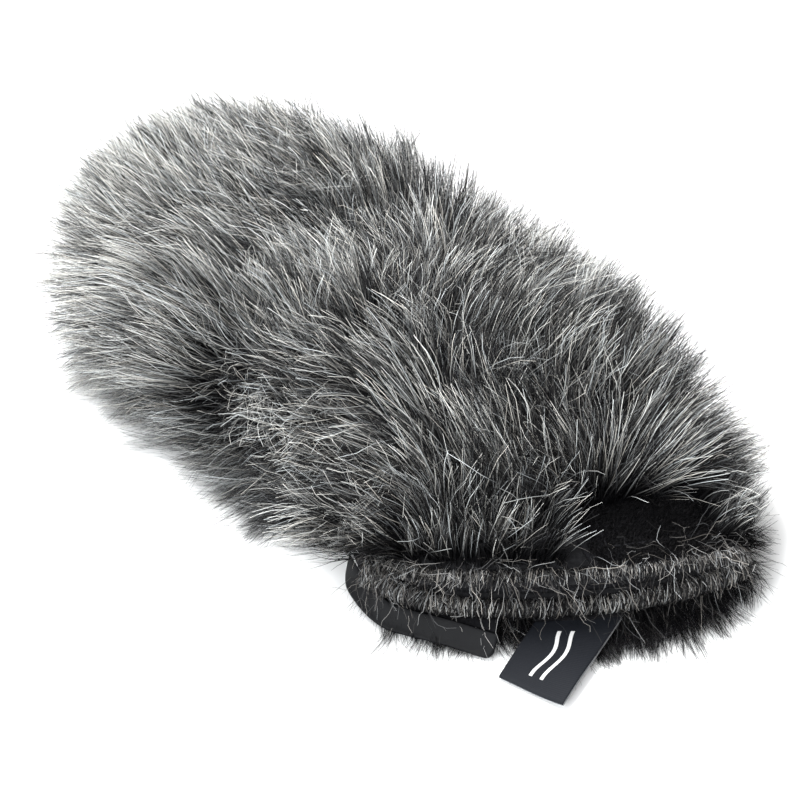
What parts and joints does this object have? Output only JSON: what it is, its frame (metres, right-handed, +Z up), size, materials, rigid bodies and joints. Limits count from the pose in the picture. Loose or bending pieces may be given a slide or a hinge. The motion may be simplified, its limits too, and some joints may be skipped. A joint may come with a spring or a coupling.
{
  "type": "furry windscreen",
  "caption": "Slip-on long-pile fur wind cover for a camera microphone, lying empty and slumped, with a lined mouth that lifts open, a closure tab and a woven label.",
  "frame": {"origin": "middle of the bounding box on the table", "axes": "+Y from the mouth to the closed nose, +Z up, +X to the right seen from the mouth"},
  "size_m": [0.118, 0.2344, 0.0545],
  "materials": {
    "fur": "long synthetic pile, charcoal at the roots and silver grey at the tips",
    "lining": "black knitted mesh",
    "thread": "serged sewing thread",
    "loop_tape": "matte brushed loops",
    "hook_tape": "moulded hooks",
    "webbing": "smooth satin tape",
    "label_ribbon": "woven satin ribbon"
  },
  "bodies": {
    "cover": {"upper_fur_panel": "fur", "lower_fur_panel": "fur", "upper_lining": "lining", "lower_lining": "lining", "left_side_seam": "thread", "right_side_seam": "thread", "nose_seam": "thread", "lower_lip_overlock": "thread", "tab_anchor": "webbing", "tab_stitches": "thread", "label_tail": "label_ribbon", "label_stitches": "thread"},
    "upper_lip": {"upper_lip_fur": "fur", "upper_lip_lining": "lining", "upper_lip_overlock": "thread", "loop_patch": "loop_tape", "loop_patch_stitches": "thread"},
    "tab": {"closure_tab": "webbing", "hook_strip": "hook_tape"},
    "label": {"woven_label": "label_ribbon"}
  },
  "joints": [
    {"name": "mouth_lip", "type": "hinge", "parent": "cover", "child": "upper_lip", "pos_m": [-0.00137, -0.046, 0.03006], "axis": [-0.9121, 0.4099, 0], "range_deg": [0, 20], "stiffness_Nm_per_rad": 0.05},
    {"name": "tab_fold", "type": "hinge", "parent": "cover", "child": "tab", "pos_m": [-0.04494, -0.06754, 0.0039], "axis": [-0.4425, 0.8968, 0], "range_deg": [0, 85], "stiffness_Nm_per_rad": 0.002},
    {"name": "label_flex", "type": "hinge", "parent": "cover", "child": "label", "pos_m": [-0.01871, -0.0948, 0.0029], "axis": [-0.7731, 0.6342, 0], "range_deg": [0, 60], "stiffness_Nm_per_rad": 0.002}
  ]
}
